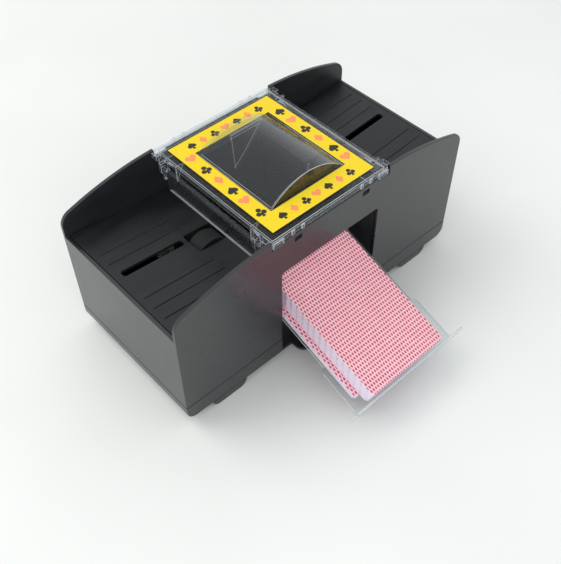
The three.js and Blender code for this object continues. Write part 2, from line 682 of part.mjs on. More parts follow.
/** Square ear that sticks out of each corner of the rim. */
const cornerEar = (sx, sy) =>
  block(sx * (COVER_HALF_X - 1), sx * (COVER_HALF_X + 3), sy * 43.8, sy * 48.6, COVER_BOTTOM, COVER_RIM_TOP);

/** Lug that fills the notch in the wall under each corner. */
const cornerLug = (sx, sy) =>
  block(sx * (NOTCH_X + GAP), sx * (COVER_HALF_X - 0.4), sy * (innerW + GAP), sy * (halfW - 0.1),
    NOTCH_Z + GAP, COVER_TOP);

/** Triangular rib that stops the gate from swinging in. */
function gusset(sx, sy) {
  const tip = 89.3;
  const root = COVER_TOP - 1;
  const shape = outline([sx * 42.2, root], [sx * 36, root], [sx * 41.6, tip], [sx * 42.2, tip]);
  return alongY(shape, sy * 31.4, sy * 32.6);
}

/** Flange that drops inside the front or back wall, and its two barbs. */
const skirt = (sy) =>
  block(-COVER_HALF_X + 0.6, COVER_HALF_X - 0.6, sy * SKIRT_Y, sy * (SKIRT_Y + 1.3),
    HOOK_BOTTOM, COVER_TOP - 1);
const barb = (sx, sy) =>
  block(sx * HOOK_X - 2.1, sx * HOOK_X + 2.1, sy * (SKIRT_Y + 1), sy * (innerW - 0.25),
    HOOK_BOTTOM, HOOK_BOTTOM + 2);

/** Pair of finger tabs on the rim above each barb. */
const tab = (sx, sy, offset) =>
  block(sx * HOOK_X + offset - 0.9, sx * HOOK_X + offset + 0.9, sy * (COVER_HALF_Y - 0.5), sy * halfW,
    COVER_BOTTOM, COVER_RIM_TOP);

function topCover() {
  const plate = cut(
    solid(block(-COVER_HALF_X, COVER_HALF_X, -COVER_HALF_Y, COVER_HALF_Y, COVER_BOTTOM, COVER_RIM_TOP)),
    block(-COVER_HALF_X + RIM, COVER_HALF_X - RIM, -COVER_HALF_Y + RIM, COVER_HALF_Y - RIM,
      COVER_TOP, COVER_RIM_TOP + OVER),
  );
  const shell = cut(
    plate.add(solid(vault(DOME_HALF_X, DOME_HALF_Y, DOME_RISE_FRONT, DOME_RISE_BACK, 1))),
    vault(DOME_HALF_X - DOME_WALL, DOME_HALF_Y - DOME_WALL,
      DOME_RISE_FRONT - DOME_WALL, DOME_RISE_BACK - DOME_WALL, 5),
  );
  const fittings = join(
    ...four(ear), ...four(cornerEar), ...four(cornerLug), ...four(gusset),
    ...both(skirt), ...four(barb),
    ...four((sx, sy) => tab(sx, sy, -TAB_OFFSET)), ...four((sx, sy) => tab(sx, sy, TAB_OFFSET)),
    deflector(),
  );
  const pinHoles = both((sx) => rod(PIN_RADIUS + GAP, -50, 50, sx * GATE_X, GATE_PIVOT_Z, 12));
  return cut(shell.add(fittings), ...pinHoles);
}

function windowLabel() {
  const frame = outline([-LABEL_HALF_X, -LABEL_HALF_Y], [LABEL_HALF_X, -LABEL_HALF_Y],
    [LABEL_HALF_X, LABEL_HALF_Y], [-LABEL_HALF_X, LABEL_HALF_Y]);
  const x = DOME_HALF_X + 0.4;
  const y = DOME_HALF_Y + 0.4;
  frame.holes.push(outline([-x, -y], [-x, y], [x, y], [x, -y]));
  return alongZ(frame, COVER_TOP + GAP, COVER_TOP + 2 * GAP);
}

/** Clear flap that hangs from two pins in front of a roller; origin on its pivot. */
function gate() {
  const half = GATE_THICKNESS / 2;
  const drop = GATE_PIVOT_Z - GATE_BOTTOM;
  return join(
    block(-half, half, -GATE_HALF_Y, GATE_HALF_Y, -drop, 1),
    rod(GATE_BARREL, -GATE_HALF_Y, GATE_HALF_Y, 0, 0, 12),
    rod(PIN_RADIUS, -GATE_PIN_END, GATE_PIN_END, 0, 0, 12),
  );
}

// ---- start button -----------------------------------------------------------------------

const SWITCH_Y0 = 39.5;
const SWITCH_Y1 = 44;
const FLANGE_Y0 = 46.8;
const FLANGE_LIP = 1.6;
const SWITCH_HALF_X = 6;
const SWITCH_HALF_Z = 5;

/** Button cap with a flange behind the wall and a pin that presses the switch. */
function startButton() {
  const x = BUTTON_HALF_X;
  const z = BUTTON_HALF_Z;
  const lip = FLANGE_LIP;
  return join(
    block(-x, x, FLANGE_Y0, halfW + BUTTON_REACH, BUTTON_Z - z, BUTTON_Z + z),
    block(-x - lip, x + lip, FLANGE_Y0, FLANGE_Y0 + 1.8, BUTTON_Z - z - lip, BUTTON_Z + z + lip),
    rod(1.2, SWITCH_Y1 + 2, FLANGE_Y0 + OVER, 0, BUTTON_Z, 10),
  );
}

// ---- assembly --------------------------------------------------------------------------

const shuffler = new THREE.Group();
// the origin is under the middle of the whole object with its tray pulled out
shuffler.position.y = (FRONT_REACH - halfW - BUTTON_REACH) / 2;

shuffler.add(
  piece('housing_shell', housingShell(), blackPlastic()),
  piece('base_cover', baseCover(), blackPlastic()),
  piece('left_feed_deck', feedDeck(-1), blackPlastic()),
  piece('right_feed_deck', feedDeck(1), blackPlastic()),
);

for (const [endName, end] of [['front', -1], ['rear', 1]]) {
  for (const [sideName, side] of [['left', -1], ['right', 1]]) {
    shuffler.add(piece(`foot_${endName}_${sideName}`, foot(side, end), material(0x18191b, 0.6)));
    const fastener = piece(`housing_screw_${endName}_${sideName}`, screw(), steel());
    fastener.position.set(side * SCREW_X, end * SCREW_Y, FOOT_HEIGHT - GAP);
    shuffler.add(fastener);
  }
}

shuffler.add(driveTrain(-1, 'left'), driveTrain(1, 'right'));

// battery bay
shuffler.add(piece('battery_box', batteryBox(), blackPlastic()));
for (let k = 0; k < 4; k += 1) {
  const y = (k - 1.5) * CELL_PITCH;
  const facing = k % 2 === 0 ? 1 : -1; // raised terminal towards +X on every other cell
  const battery = piece(`battery_cell_${k + 1}`, cell(), material(0x2f5d8a, 0.4, 0.3));
  battery.position.set(BAY_X + facing * 1.2, y, CELL_Z);
  battery.rotation.z = facing > 0 ? 0 : Math.PI;
  const contact = coilSpring(3.2, 2.2, CONTACT_LENGTH, 2.5, 0.35);
  const spring = piece(`battery_spring_${k + 1}`, contact, steel());
  spring.position.set(BAY_X - facing * (BAY_HALF_X - 0.5), y, CELL_Z);
  spring.rotation.z = facing > 0 ? 0 : Math.PI;
  shuffler.add(battery, spring);
}
for (const [k, side] of [[1, -1], [2, 1], [3, -1]]) {
  const y = (k - 2) * CELL_PITCH;
  const half = CELL_PITCH / 2 + 5.5;
  const x = BAY_X + side * (BAY_HALF_X + 0.1);
  const strip = block(x, x + side * 0.4, y - half, y + half, CELL_Z - 4.5, CELL_Z + 5.5);
  shuffler.add(piece(`battery_link_strip_${k}`, strip, steel()));
}
const doorPlate = block(DOOR.x0, DOOR.x1, DOOR.y0, DOOR.y1,
  FOOT_HEIGHT + 0.1, FOOT_HEIGHT + RECESS_DEPTH - GAP);
shuffler.add(piece('battery_door', doorPlate, blackPlastic()));

// tray and deck
shuffler.add(
  piece('card_tray', cardTray(), clearPlastic()),
  piece('card_deck_lower', cards(-36.3, 8.8, 0, LOWER_CARDS), material(0xe3dfee, 0.6)),
  piece('card_deck_upper', cards(-33.2, 2.6, LOWER_CARDS + GAP, ALL_CARDS), material(0xf29aae, 0.5)),
);

// cover
shuffler.add(
  piece('top_cover', topCover(), clearPlastic()),
  piece('window_label', windowLabel(), material(0xfadf00, 0.4)),
);
for (const [name, side] of [['left_gate', -1], ['right_gate', 1]]) {
  const flap = piece(name, gate(), clearPlastic());
  flap.position.set(side * GATE_X, 0, GATE_PIVOT_Z);
  shuffler.add(flap);
}

// start button, its spring and the switch that it presses
const returnSpring = piece('button_spring', coilSpring(2.6, 2.6, 1.8, 2, 0.25), steel());
returnSpring.position.set(0, SWITCH_Y1 + 0.5, BUTTON_Z);
returnSpring.rotation.z = Math.PI / 2;
const switchBody = block(-SWITCH_HALF_X, SWITCH_HALF_X, SWITCH_Y0, SWITCH_Y1,
  BUTTON_Z - SWITCH_HALF_Z, BUTTON_Z + SWITCH_HALF_Z);
shuffler.add(
  piece('start_button', startButton(), material(0xb3261e, 0.35)),
  piece('start_switch', switchBody, blackPlastic()),
  returnSpring,
);

export default shuffler;
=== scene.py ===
"""Battery-driven card shuffler with its clear tray pulled out, a shuffled deck in the tray."""

import json
import math
import random

import bmesh
import bpy
from mathutils import Matrix, Vector

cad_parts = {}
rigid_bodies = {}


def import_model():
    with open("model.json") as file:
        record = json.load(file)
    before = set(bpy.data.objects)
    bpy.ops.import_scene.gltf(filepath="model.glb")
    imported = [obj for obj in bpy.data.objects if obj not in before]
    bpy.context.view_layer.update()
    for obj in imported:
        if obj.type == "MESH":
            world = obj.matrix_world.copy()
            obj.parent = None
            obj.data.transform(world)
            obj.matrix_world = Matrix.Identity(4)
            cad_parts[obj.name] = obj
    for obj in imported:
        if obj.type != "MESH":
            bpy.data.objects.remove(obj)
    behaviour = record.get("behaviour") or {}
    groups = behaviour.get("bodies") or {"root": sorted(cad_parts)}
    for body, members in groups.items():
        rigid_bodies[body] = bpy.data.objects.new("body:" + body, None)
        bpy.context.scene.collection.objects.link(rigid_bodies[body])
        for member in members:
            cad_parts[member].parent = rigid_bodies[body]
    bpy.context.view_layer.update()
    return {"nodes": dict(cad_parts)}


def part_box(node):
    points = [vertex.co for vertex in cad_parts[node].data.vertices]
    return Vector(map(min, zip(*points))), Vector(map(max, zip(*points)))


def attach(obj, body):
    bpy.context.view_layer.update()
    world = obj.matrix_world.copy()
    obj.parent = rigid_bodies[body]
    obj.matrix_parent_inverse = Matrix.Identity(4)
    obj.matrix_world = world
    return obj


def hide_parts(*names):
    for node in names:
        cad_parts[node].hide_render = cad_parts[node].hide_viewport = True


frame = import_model()

# Lengths are in millimetres. x and y count from the middle of the housing, z from the table.
MM = 0.001
CENTRE_Y = sum(corner[1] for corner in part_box("housing_shell")) / 2
HALF_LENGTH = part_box("housing_shell")[1][0] / MM
HALF_WIDTH = 51.3
WALL = 2.3
INNER_WIDTH = HALF_WIDTH - WALL
SEAM_Z = 17.0
SEAM_GAP = 0.3
UNDERSIDE_Z = 5.5
FLOOR_TOP_Z = 7.5
END_RIM_Z = 77.0
OPENING_HALF = 37.4
OPENING_TOP = 75.0
HOOK_X = 25.6
HOOK_Z = 93.4
COVER_HALF_X = 43.5
COVER_HALF_Y = 50.5
COVER_BOTTOM = 99.2
COVER_TOP = 101.2
COVER_RIM_TOP = 102.4
DECK_SLOPE = math.tan(math.radians(5))
BUTTON_Z = 40.0
BAY_X = 73.1
ROLLER_X = 49.0
ROLLER_Z = 62.3
GEAR_LINE = math.radians(33.5)
IDLER_REACH = 27 * 0.4
GATE_PIN_X = 44.4
GATE_PIN_Z = 95.0
TRAY_SLOPE = math.radians(19.5)
TRAY_FRONT_Y = 11.0 * math.sin(TRAY_SLOPE) - 119.7
TRAY_FRONT_Z = 10.6


# ---- shapes ----------------------------------------------------------------------------


def at(x, y, z):
    """Point in the frame, in metres, from millimetres on the housing."""
    return Vector((x * MM, y * MM + CENTRE_Y, z * MM))


def arc(centre_a, centre_b, radius, start, end, steps):
    """Points along an arc, with its angles in degrees."""
    turns = [math.radians(start + (end - start) * step / steps) for step in range(steps + 1)]
    return [(centre_a + radius * math.cos(t), centre_b + radius * math.sin(t)) for t in turns]


def rounded(a0, a1, b0, b1, radius, steps=6):
    """Rectangle with round corners."""
    return (
        arc(a0 + radius, b0 + radius, radius, 180, 270, steps)
        + arc(a1 - radius, b0 + radius, radius, 270, 360, steps)
        + arc(a1 - radius, b1 - radius, radius, 0, 90, steps)
        + arc(a0 + radius, b1 - radius, radius, 90, 180, steps)
    )


def prism(points, axis, low, high):
    """Outline drawn across an axis and pulled along it."""
    places = {
        "x": lambda a, b: at(low, a, b),
        "y": lambda a, b: at(a, low, b),
        "z": lambda a, b: at(a, b, low),
    }
    shape = bmesh.new()
    face = shape.faces.new([shape.verts.new(places[axis](a, b)) for a, b in points])
    grown = bmesh.ops.extrude_face_region(shape, geom=[face])
    ends = [item for item in grown["geom"] if isinstance(item, bmesh.types.BMVert)]
    pull = Vector([(high - low) * MM * (letter == axis) for letter in "xyz"])
    bmesh.ops.translate(shape, vec=pull, verts=ends)
    bmesh.ops.recalc_face_normals(shape, faces=shape.faces)
    return shape


def block(x0, x1, y0, y1, z0, z1):
    """Square-edged bar between two corners, given in either order."""
    middle = Matrix.Translation(at((x0 + x1) / 2, (y0 + y1) / 2, (z0 + z1) / 2))
    size = Matrix.Diagonal((abs(x1 - x0) * MM, abs(y1 - y0) * MM, abs(z1 - z0) * MM, 1))
    shape = bmesh.new()
    bmesh.ops.create_cube(shape, size=1, matrix=middle @ size)
    return shape


def turned(profile, x, y, z, axis="y", steps=48):
    """Profile of (radius, distance) points turned once round an axis."""
    shape = bmesh.new()
    spin_axis = Vector([float(letter == axis) for letter in "xyz"])
    across = Vector((1, 0, 0)) if axis != "x" else Vector((0, 0, 1))
    centre = at(x, y, z)
    rim = [shape.verts.new(centre + (across * radius + spin_axis * along) * MM) for radius, along in profile]
    edges = [shape.edges.new(pair) for pair in zip(rim, rim[1:])]
    bmesh.ops.spin(
        shape, geom=rim + edges, cent=centre, axis=spin_axis, angle=math.tau,
        steps=steps, use_merge=True, dvec=(0, 0, 0),
    )
    bmesh.ops.remove_doubles(shape, verts=shape.verts, dist=0.002 * MM)
    bmesh.ops.recalc_face_normals(shape, faces=shape.faces)
    return shape


def rod(radius, x, y0, y1, z, steps=32):
    """Round bar parallel to y."""
    return turned([(0, y0), (radius, y0), (radius, y1), (0, y1)], x, 0, z, steps=steps)


def bare_object(shape, name="tool"):
    """Object for a shape, not yet part of the model."""
    mesh = bpy.data.meshes.new(name)
    shape.to_mesh(mesh)
    shape.free()
    item = bpy.data.objects.new(name, mesh)
    bpy.context.scene.collection.objects.link(item)
    return item


def combine(body, tools, operation):
    """Body with every tool joined to it or cut out of it."""
    held = bare_object(body)
    group = bpy.data.collections.new("tools")
    bpy.context.scene.collection.children.link(group)
    for tool in tools:
        item = bare_object(tool)
        bpy.context.scene.collection.objects.unlink(item)
        group.objects.link(item)
    step = held.modifiers.new("combine", "BOOLEAN")
    step.operation = operation
    step.operand_type = "COLLECTION"
    step.collection = group
    step.solver = "EXACT"
    mesh = bpy.data.meshes.new_from_object(held.evaluated_get(bpy.context.evaluated_depsgraph_get()))
    result = bmesh.new()
    result.from_mesh(mesh)
    for item in [held, *group.objects]:
        bpy.data.objects.remove(item)
    bpy.data.collections.remove(group)
    bpy.data.meshes.remove(mesh)
    bmesh.ops.remove_doubles(result, verts=result.verts, dist=0.005 * MM)
    flat = math.radians(0.4)
    bmesh.ops.dissolve_limit(result, angle_limit=flat, verts=result.verts, edges=result.edges)
    return result


def join(body, *tools):
    return combine(body, tools, "UNION")


def cut(body, *tools):
    return combine(body, tools, "DIFFERENCE")


def four(make):
    """The same shape made at all four corners."""
    return [make(side, end) for side in (-1, 1) for end in (-1, 1)]


def on_slope(shape):
    """Shape drawn in the tray's own frame, y up the slope from its lip, moved on to the slope."""
    place = Matrix.Translation(at(0, TRAY_FRONT_Y, TRAY_FRONT_Z)) @ Matrix.Rotation(TRAY_SLOPE, 4, "X")
    bmesh.ops.transform(shape, matrix=place @ Matrix.Translation(-at(0, 0, 0)), verts=shape.verts)
    return shape


def mark_painted_edge_highlights(shape, limit):
    """Second material for faces narrower than a limit in millimetres: the edges of thin walls, hazed whitish
    as a painted highlight.
    """
    for face in shape.faces:
        square_on = max(abs(part) for part in face.normal) > 0.999
        narrow = face.calc_area() < limit * MM * max(e.calc_length() for e in face.edges)
        face.material_index = int(square_on and narrow and len(face.edges) < 40)


def mark_inside(shape, half_x, half_y):
    """Second material for the faces that look into the middle of a hollow body."""
    for face in shape.faces:
        middle = face.calc_center_median() - at(0, 0, 0)
        outwards = face.normal.x * middle.x + face.normal.y * middle.y
        inwards = outwards < 0.001 * abs(middle.x) or face.normal.z > 0.9
        within = abs(middle.x) < (half_x + 0.1) * MM and abs(middle.y) < (half_y + 0.1) * MM
        face.material_index = int(within and inwards)


def piece(name, shape, finish, body, replaced=(), edge=0.3, segments=2, smooth=35):
    """Finished piece: rounded edges, smooth shading, a material and the body that it rides on."""
    item = bare_object(shape, name)
    for coat in finish if isinstance(finish, (list, tuple)) else [finish]:
        item.data.materials.append(coat)
    item.data.shade_smooth()
    item.data.set_sharp_from_angle(angle=math.radians(smooth))
    if edge:
        rounding = item.modifiers.new("rounding", "BEVEL")
        rounding.width = edge * MM
        rounding.segments = segments
        rounding.limit_method = "ANGLE"
        rounding.angle_limit = math.radians(smooth)
        rounding.use_clamp_overlap = False
        rounding.harden_normals = True
    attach(item, body)
    if replaced:
        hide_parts(*replaced)
    return item


# ---- materials ---------------------------------------------------------------------------


def srgb(code, alpha=1.0):
    """Linear colour of an sRGB hex value."""
    parts = [int(code[i : i + 2], 16) / 255 for i in (0, 2, 4)]
    return tuple(c / 12.92 if c <= 0.04045 else ((c + 0.055) / 1.055) ** 2.4 for c in parts) + (alpha,)


def add(tree, kind, inputs=None, **settings):
    """One node with its settings, its input values and its links."""
    node = tree.nodes.new(kind)
    for name, value in settings.items():
        setattr(node, name, value)
    for name, value in (inputs or {}).items():
        if isinstance(value, bpy.types.NodeSocket):
            tree.links.new(value, node.inputs[name])
        else:
            node.inputs[name].default_value = value
    return node


def new_material(name, **values):
    """Material with one surface shader, whose sockets get plain values."""
    coat = bpy.data.materials.new(name)
    coat.use_nodes = True
    tree = coat.node_tree
    tree.nodes.clear()
    inputs = {key.replace("_", " "): value for key, value in values.items()}
    shader = add(tree, "ShaderNodeBsdfPrincipled", inputs)
    add(tree, "ShaderNodeOutputMaterial", {"Surface": shader.outputs["BSDF"]})
    place = add(tree, "ShaderNodeTexCoord").outputs["Object"]
    return coat, tree, shader, place


def grain(tree, place, size, detail=3.0, stretch=(1, 1, 1)):
    """Noise whose lumps are about size millimetres across."""
    spread = [factor / (size * MM) for factor in stretch]
    mapped = add(tree, "ShaderNodeMapping", {"Vector": place, "Scale": spread})
    inputs = {"Vector": mapped.outputs["Vector"], "Scale": 1.0, "Detail": detail}
    noise = add(tree, "ShaderNodeTexNoise", inputs)
    return noise.outputs["Fac"]


def spread(tree, value, low, high, start=0.3, end=0.7):
    """Value moved into a new range."""
    ranged = add(tree, "ShaderNodeMapRange", {0: value, 1: start, 2: end, 3: low, 4: high})
    return ranged.outputs[0]


def blend_colours(tree, share, first, second):
    """Colour between two, by a share from 0 to 1."""
    mixed = add(tree, "ShaderNodeMix", {0: share, 6: first, 7: second}, data_type="RGBA")
    return mixed.outputs[2]


def bumped(tree, shader, height, depth, strength=1.0, normal=None):
    """Surface relief, depth in millimetres."""
    inputs = {"Height": height, "Distance": depth * MM, "Strength": strength}
    if normal:
        inputs["Normal"] = normal
    bump = add(tree, "ShaderNodeBump", inputs)
    tree.links.new(bump.outputs["Normal"], shader.inputs["Normal"])
    return bump.outputs["Normal"]


def moulded_abs_satin(name="moulded_abs_satin"):
    """ABS from a finely polished mould: black, with soft clear reflections, slight flow marks and hazing."""
    coat, tree, shader, place = new_material(name, IOR=1.72)
    flow = grain(tree, place, 46, 1, (1, 1, 0.35))
    fine = grain(tree, place, 0.35, 2)
    haze = grain(tree, place, 26, 2)
    colour = blend_colours(tree, spread(tree, haze, 0, 1), srgb("17191C"), srgb("1B1D20"))
    tree.links.new(colour, shader.inputs["Base Color"])
    tree.links.new(spread(tree, haze, 0.25, 0.29), shader.inputs["Roughness"])
    waves = bumped(tree, shader, flow, 0.1, 0.4)
    bumped(tree, shader, fine, 0.004, 0.5, waves)
    return coat


def moulded_abs_textured():
    """ABS from a spark-eroded mould: the sliding faces are a shade greyer, with a fine even grain."""
    coat, tree, shader, place = new_material("moulded_abs_textured", IOR=1.48)
    fine = grain(tree, place, 0.4, 2)
    rubbed = grain(tree, place, 7, 4, (0.25, 1, 1))
    colour = blend_colours(tree, spread(tree, rubbed, 0, 1), srgb("151619"), srgb("222427"))
    tree.links.new(colour, shader.inputs["Base Color"])
    tree.links.new(spread(tree, rubbed, 0.4, 0.5), shader.inputs["Roughness"])
    bumped(tree, shader, fine, 0.006, 0.6)
    return coat


def moulded_polystyrene(name, tint, haze):
    """Clear polystyrene: thin walls that hardly bend what is behind them, with sharp clear reflections."""
    coat, tree, body, place = new_material(name, Roughness=0.22, IOR=1.59)
    body.inputs["Base Color"].default_value = srgb("EDF2F5")
    scuffs = grain(tree, place, 3, 4)
    facing = add(tree, "ShaderNodeLayerWeight", {"Blend": 0.5}).outputs["Facing"]
    grazing = add(tree, "ShaderNodeMath", {0: facing, 1: 4.0}, operation="POWER").outputs[0]
    gloss = add(tree, "ShaderNodeBsdfGlossy", {"Roughness": spread(tree, scuffs, 0.04, 0.08)})
    through = add(tree, "ShaderNodeBsdfTransparent", {"Color": srgb(tint)})
    reflecting = spread(tree, grazing, 0.028, 0.8, 0.0, 1.0)
    wall = add(tree, "ShaderNodeMixShader", {0: reflecting, 1: through.outputs[0], 2: gloss.outputs[0]})
    # haze mixes in a whitish lit surface; a large haze, as on the edge material, is a painted highlight
    hazy = add(tree, "ShaderNodeMixShader", {0: haze, 1: wall.outputs[0], 2: body.outputs[0]})
    surface = next(node for node in tree.nodes if node.type == "OUTPUT_MATERIAL").inputs["Surface"]
    tree.links.new(hazy.outputs[0], surface)
    return coat


def coated_label_yellow():
    """Glossy coated paper printed yellow: even ink with a faint paper grain."""
    coat, tree, shader, place = new_material("coated_label_yellow", IOR=1.5)
    fibre = grain(tree, place, 0.8, 3)
    colour = blend_colours(tree, spread(tree, fibre, 0, 1), srgb("EBCB00"), srgb("F2D500"))
    tree.links.new(colour, shader.inputs["Base Color"])
    tree.links.new(spread(tree, fibre, 0.34, 0.44), shader.inputs["Roughness"])
    bumped(tree, shader, fibre, 0.008, 0.4)
    return coat


def printing_ink(name, code, second):
    """Litho ink on the label, also used for the painted dark border lines: flat colour, a little broken by
    the paper.
    """
    coat, tree, shader, place = new_material(name, IOR=1.5)
    fibre = grain(tree, place, 0.7, 3)
    colour = blend_colours(tree, spread(tree, fibre, 0, 1), srgb(code), srgb(second))
    tree.links.new(colour, shader.inputs["Base Color"])
    tree.links.new(spread(tree, fibre, 0.36, 0.46), shader.inputs["Roughness"])
    return coat


CARD_PITCH_X = 1.79
CARD_PITCH_Y = 4.67


def card_back_print():
    """Varnished card back: pink ground, with short dark red strokes in staggered columns."""
    coat, tree, shader, place = new_material("card_back_print", IOR=1.5)
    split = add(tree, "ShaderNodeSeparateXYZ", {"Vector": place})

    def maths(operation, first, second=0.0):
        return add(tree, "ShaderNodeMath", {0: first, 1: second}, operation=operation).outputs[0]

    def stroke(shift):
        across = maths("ADD", maths("DIVIDE", split.outputs["X"], CARD_PITCH_X * MM), shift)
        along = maths("ADD", maths("DIVIDE", split.outputs["Y"], CARD_PITCH_Y * MM), shift)
        off_x = maths("ABSOLUTE", maths("SUBTRACT", maths("FRACT", across), 0.5))
        off_y = maths("ABSOLUTE", maths("SUBTRACT", maths("FRACT", along), 0.5))
        wide = maths("POWER", maths("DIVIDE", off_x, 0.27), 2.0)
        long = maths("POWER", maths("DIVIDE", off_y, 0.165), 4.0)
        return maths("LESS_THAN", maths("ADD", wide, long), 1.0)

    inked = maths("MAXIMUM", stroke(0.0), stroke(0.5))
    mottle = grain(tree, place, 6, 3)
    ground = blend_colours(tree, spread(tree, mottle, 0, 1), srgb("FBC4CD"), srgb("F8B8C4"))
    strokes = blend_colours(tree, spread(tree, mottle, 0, 1), srgb("A83C52"), srgb("93304A"))
    tree.links.new(blend_colours(tree, inked, ground, strokes), shader.inputs["Base Color"])
    tree.links.new(spread(tree, mottle, 0.38, 0.5), shader.inputs["Roughness"])
    bumped(tree, shader, grain(tree, place, 0.6, 2), 0.01, 0.4)
    return coat


def card_stock_cut():
    """Cut edge of playing-card board: cool white, a little fibrous."""
    coat, tree, shader, place = new_material("card_stock_cut", Roughness=0.7, IOR=1.5)
    fibre = grain(tree, place, 1.2, 4, (1, 1, 4))
    colour = blend_colours(tree, spread(tree, fibre, 0, 1), srgb("DDD4E8"), srgb("EFE8F4"))
    tree.links.new(colour, shader.inputs["Base Color"])
    return coat


def moulded_rubber_black():
    """Moulded rubber: dull black with a dusty grain."""
    coat, tree, shader, place = new_material("moulded_rubber_black", IOR=1.52)
    dust = grain(tree, place, 1.5, 4)
    colour = blend_colours(tree, spread(tree, dust, 0, 1), srgb("141415"), srgb("252526"))
    tree.links.new(colour, shader.inputs["Base Color"])
    tree.links.new(spread(tree, dust, 0.6, 0.85), shader.inputs["Roughness"])
    bumped(tree, shader, dust, 0.03, 0.5)
    return coat


def metal(name, code, second, low, high, size=2.0, stretch=(1, 1, 1)):
    """Bare or plated metal, with its roughness broken by the way it was worked."""
    coat, tree, shader, place = new_material(name, Metallic=1.0)
    marks = grain(tree, place, size, 4, stretch)
    colour = blend_colours(tree, spread(tree, marks, 0, 1), srgb(code), srgb(second))
    tree.links.new(colour, shader.inputs["Base Color"])
    tree.links.new(spread(tree, marks, low, high), shader.inputs["Roughness"])
    return coat


def moulded_plastic(name, code, second, low, high):
    """Coloured plastic from a plain mould: soft gloss with slight mottling."""
    coat, tree, shader, place = new_material(name, IOR=1.5)
    mottle = grain(tree, place, 3, 3)
    colour = blend_colours(tree, spread(tree, mottle, 0, 1), srgb(code), srgb(second))
    tree.links.new(colour, shader.inputs["Base Color"])
    tree.links.new(spread(tree, mottle, low, high), shader.inputs["Roughness"])
    bumped(tree, shader, grain(tree, place, 0.5, 2), 0.006, 0.5)
    return coat


def painted_board():
    """Matt painted board under the object: nearly white, hardly mottled."""
    coat, tree, shader, place = new_material("painted_board", IOR=1.45)
    mottle = grain(tree, place, 180, 3)
    colour = blend_colours(tree, spread(tree, mottle, 0, 1), srgb("E6E8E5"), srgb("ECEEEB"))
    tree.links.new(colour, shader.inputs["Base Color"])
    tree.links.new(spread(tree, mottle, 0.5, 0.6), shader.inputs["Roughness"])
    return coat


satin_black = moulded_abs_satin()
textured_black = moulded_abs_textured()
clear = [
    moulded_polystyrene("moulded_polystyrene_clear", "F7F9FA", 0.01),
    # The second clear material is hazed whitish: a painted highlight for the bright lines at the edges of
    # clear walls.
    moulded_polystyrene("moulded_polystyrene_painted_edge_highlight", "E3E9EE", 0.42),
]
rubber = moulded_rubber_black()
steel = metal("nickel_plated_steel", "B9BABC", "CFCFCF", 0.22, 0.36)


# ---- housing -------------------------------------------------------------------------------


def crest_outline():
    """Side wall: flat crest, arched shoulders, round ends."""
    top, half, radius, corner = 103.0, 40.0, 195.0, 9.0
    centre_z = top - radius
    corner_x = HALF_LENGTH - corner
    corner_z = centre_z + math.sqrt((radius - corner) ** 2 - (corner_x - half) ** 2)
    turn = math.degrees(math.atan2(corner_z - centre_z, corner_x - half))
    return (
        [(-HALF_LENGTH, SEAM_Z + SEAM_GAP), (HALF_LENGTH, SEAM_Z + SEAM_GAP)]
        + arc(corner_x, corner_z, corner, 0, turn, 10)
        + arc(half, centre_z, radius, turn, 90, 24)[1:]
        + arc(-half, centre_z, radius, 90, 180 - turn, 24)
        + arc(-corner_x, corner_z, corner, 180 - turn, 180, 10)[1:]
    )


def housing_shell():
    """Four walls with the tray's opening, the cover's seat and the slots of its hooks."""
    width = HALF_WIDTH + 1
    inside = HALF_LENGTH - WALL
    notches = [block(s * 35.3, s * 44.2, -width, width, 97, 120) for s in (-1, 1)]
    slots = [
        prism(rounded(x - 2.5, x + 2.5, HOOK_Z - 0.2, HOOK_Z + 2.9, 0.5, 3), "y", -width, width)
        for x in (-HOOK_X, HOOK_X)
    ]
    shell = cut(
        prism(crest_outline(), "y", -HALF_WIDTH, HALF_WIDTH),
        block(-inside, inside, -INNER_WIDTH, INNER_WIDTH, 0, 120),
        block(-HALF_LENGTH - 1, HALF_LENGTH + 1, -INNER_WIDTH, INNER_WIDTH, END_RIM_Z, 120),
        block(-44.2, 44.2, -width, width, 98.8, 120),
        prism(rounded(-OPENING_HALF, OPENING_HALF, -5, OPENING_TOP, 2, 5), "y", -width, -INNER_WIDTH + 1),
        prism(rounded(-6.4, 6.4, BUTTON_Z - 4.4, BUTTON_Z + 4.4, 1.2, 4), "y", INNER_WIDTH - 1, width),
        *notches,
        *slots,
    )
    bosses = four(
        lambda s, e: block(s * 97, s * 103, e * 43, e * (INNER_WIDTH - 0.3), FLOOR_TOP_Z + 0.3, 40)
    )
    ties = four(lambda s, e: block(s * 97, s * 103, e * 48, e * 50, SEAM_Z + SEAM_GAP, 40))
    whole = join(shell, *bosses, *ties)
    mark_inside(whole, inside, INNER_WIDTH)
    return piece(
        "visual_housing", whole, [satin_black, textured_black],
        "housing", ["housing_shell"], edge=0.45,
    )


def deck_z(x):
    """Height of a feed deck's upper face."""
    return END_RIM_Z - (HALF_LENGTH - abs(x)) * DECK_SLOPE


